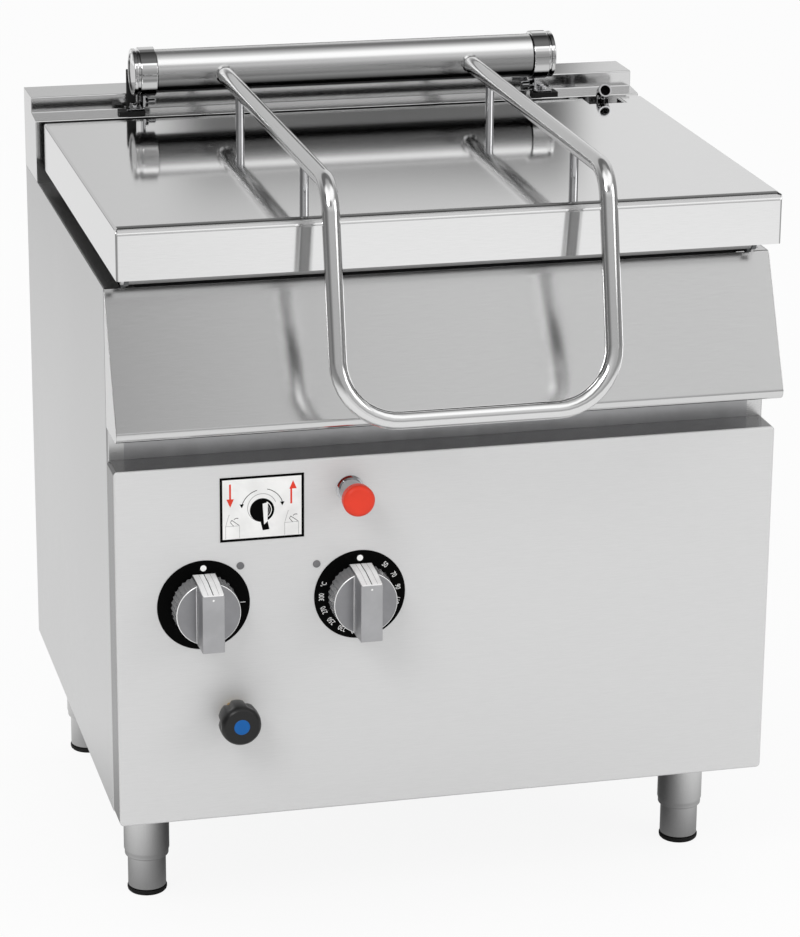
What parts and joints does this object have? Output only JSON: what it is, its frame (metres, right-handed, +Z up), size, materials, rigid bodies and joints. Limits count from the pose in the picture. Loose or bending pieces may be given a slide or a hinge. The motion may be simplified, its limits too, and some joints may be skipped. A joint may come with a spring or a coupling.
{
  "type": "tilting bratt pan",
  "caption": "Free-standing electric bratt pan on adjustable feet: a tilting steel pan under a sprung lid with a tubular handle, with rotary controls, push button and water tap.",
  "frame": {"origin": "middle of the footprint, on the floor under the feet", "axes": "+Z up, +Y to the rear, where the services enter, +X to the right seen from the front"},
  "size_m": [0.8, 0.7985, 0.967],
  "materials": {
    "brushed_steel": "satin brushed stainless sheet",
    "polished_steel": "fine polished stainless sheet",
    "tube_steel": "lengthwise brushed stainless tube",
    "leg_steel": "turned satin stainless",
    "plain_steel": "plain sheet steel",
    "chrome": "polished chrome",
    "black_rubber": "matt",
    "black_plastic": "satin",
    "dial_black": "printed film",
    "knob_grey": "satin metallised",
    "lamp_grey": "unlit lens",
    "plate_white": "printed plate",
    "signal_red": "moulded",
    "tap_blue": "moulded",
    "brass": "machined",
    "copper_pipe": "drawn tube",
    "cast_grey": "enamel",
    "cream_plastic": "moulded",
    "heater_dark": "oxidised sheath",
    "pan_steel": "ground cooking surface"
  },
  "bodies": {
    "cabinet": {"left_side_panel": "brushed_steel", "right_side_panel": "brushed_steel", "back_panel": "plain_steel", "bottom_panel": "plain_steel", "front_rail": "plain_steel", "control_panel": "brushed_steel", "front_hood": "polished_steel", "rear_upstand": "polished_steel", "pivot_brackets": "cast_grey", "leg_sleeves": "leg_steel", "hinge_brackets": "chrome", "bracket_pads": "black_rubber", "bracket_bolts": "chrome", "hinge_collars": "chrome", "switch_dial": "dial_black", "thermostat_dial": "dial_black", "indicator_lamps": "lamp_grey", "instruction_plate": "plate_white", "button_bezel": "chrome", "tap_body": "brass", "water_pipe": "copper_pipe", "water_inlet": "brass", "water_spout": "chrome", "cable_gland": "black_plastic", "actuator_motor": "cast_grey", "power_contactor": "black_plastic", "terminal_block": "cream_plastic", "component_plate": "plain_steel", "switch_body": "black_plastic", "thermostat_body": "cream_plastic"},
    "pan": {"pan_basin": "pan_steel", "pan_base_plate": "pan_steel", "heating_elements": "heater_dark", "insulation_tray": "plain_steel", "pan_pivot_pins": "chrome", "lift_rail": "plain_steel"},
    "lift_rod": {"actuator_rod": "chrome"},
    "shaft": {"hinge_shaft": "chrome"},
    "lid": {"lid_shell": "polished_steel", "hinge_tube": "tube_steel", "lid_handle": "tube_steel", "lid_posts": "chrome", "lid_springs": "heater_dark"},
    "mode_knob": {"switch_knob": "knob_grey"},
    "heat_knob": {"thermostat_knob": "knob_grey"},
    "button": {"button_stem": "black_plastic"},
    "button_cap": {"button_head": "signal_red"},
    "tap": {"tap_knob": "black_plastic", "tap_disc": "tap_blue"},
    "front_left_foot": {"foot_front_left": "leg_steel", "pad_front_left": "black_rubber"},
    "front_right_foot": {"foot_front_right": "leg_steel", "pad_front_right": "black_rubber"},
    "rear_left_foot": {"foot_rear_left": "leg_steel", "pad_rear_left": "black_rubber"},
    "rear_right_foot": {"foot_rear_right": "leg_steel", "pad_rear_right": "black_rubber"}
  },
  "joints": [
    {"name": "pan_tilt", "type": "hinge", "parent": "cabinet", "child": "pan", "pos_m": [0, -0.22875, 0.812], "axis": [1, 0, 0], "range_deg": [0, 70]},
    {"name": "lift_slide", "type": "slide", "parent": "cabinet", "child": "lift_rod", "axis": [0, 0, 1], "range_m": [0, 0.27]},
    {"name": "lid_follow", "type": "hinge", "parent": "cabinet", "child": "shaft", "pos_m": [0, 0.29425, 0.936], "axis": [-1, 0, 0], "range_deg": [0, 105]},
    {"name": "lid_open", "type": "hinge", "parent": "shaft", "child": "lid", "pos_m": [0, 0.29425, 0.936], "axis": [-1, 0, 0], "range_deg": [0, 75]},
    {"name": "mode_turn", "type": "hinge", "parent": "cabinet", "child": "mode_knob", "pos_m": [-0.297, -0.26775, 0.423], "axis": [0, 1, 0], "range_deg": [0, 90]},
    {"name": "heat_turn", "type": "hinge", "parent": "cabinet", "child": "heat_knob", "pos_m": [-0.11, -0.26775, 0.421], "axis": [0, 1, 0], "range_deg": [0, 270]},
    {"name": "button_press", "type": "slide", "parent": "cabinet", "child": "button", "axis": [0, 1, 0], "range_m": [0, 0.005], "stiffness_N_per_m": 600, "springref_m": -0.001},
    {"name": "button_twist", "type": "hinge", "parent": "button", "child": "button_cap", "pos_m": [-0.122, -0.26775, 0.553], "axis": [0, 1, 0], "range_deg": [-45, 45], "stiffness_Nm_per_rad": 0.05},
    {"name": "tap_turn", "type": "hinge", "parent": "cabinet", "child": "tap", "pos_m": [-0.262, -0.26775, 0.285], "axis": [0, -1, 0], "range_deg": [0, 360]},
    {"name": "front_left_level", "type": "slide", "parent": "cabinet", "child": "front_left_foot", "axis": [0, 0, -1], "range_m": [0, 0.05]},
    {"name": "front_right_level", "type": "slide", "parent": "cabinet", "child": "front_right_foot", "axis": [0, 0, -1], "range_m": [0, 0.05]},
    {"name": "rear_left_level", "type": "slide", "parent": "cabinet", "child": "rear_left_foot", "axis": [0, 0, -1], "range_m": [0, 0.05]},
    {"name": "rear_right_level", "type": "slide", "parent": "cabinet", "child": "rear_right_foot", "axis": [0, 0, -1], "range_m": [0, 0.05]}
  ],
  "couplings": [
    {"joint": "lid_follow", "follows": "pan_tilt", "ratio": 1.5},
    {"joint": "lift_slide", "follows": "pan_tilt", "m_per_rad": 0.22}
  ]
}
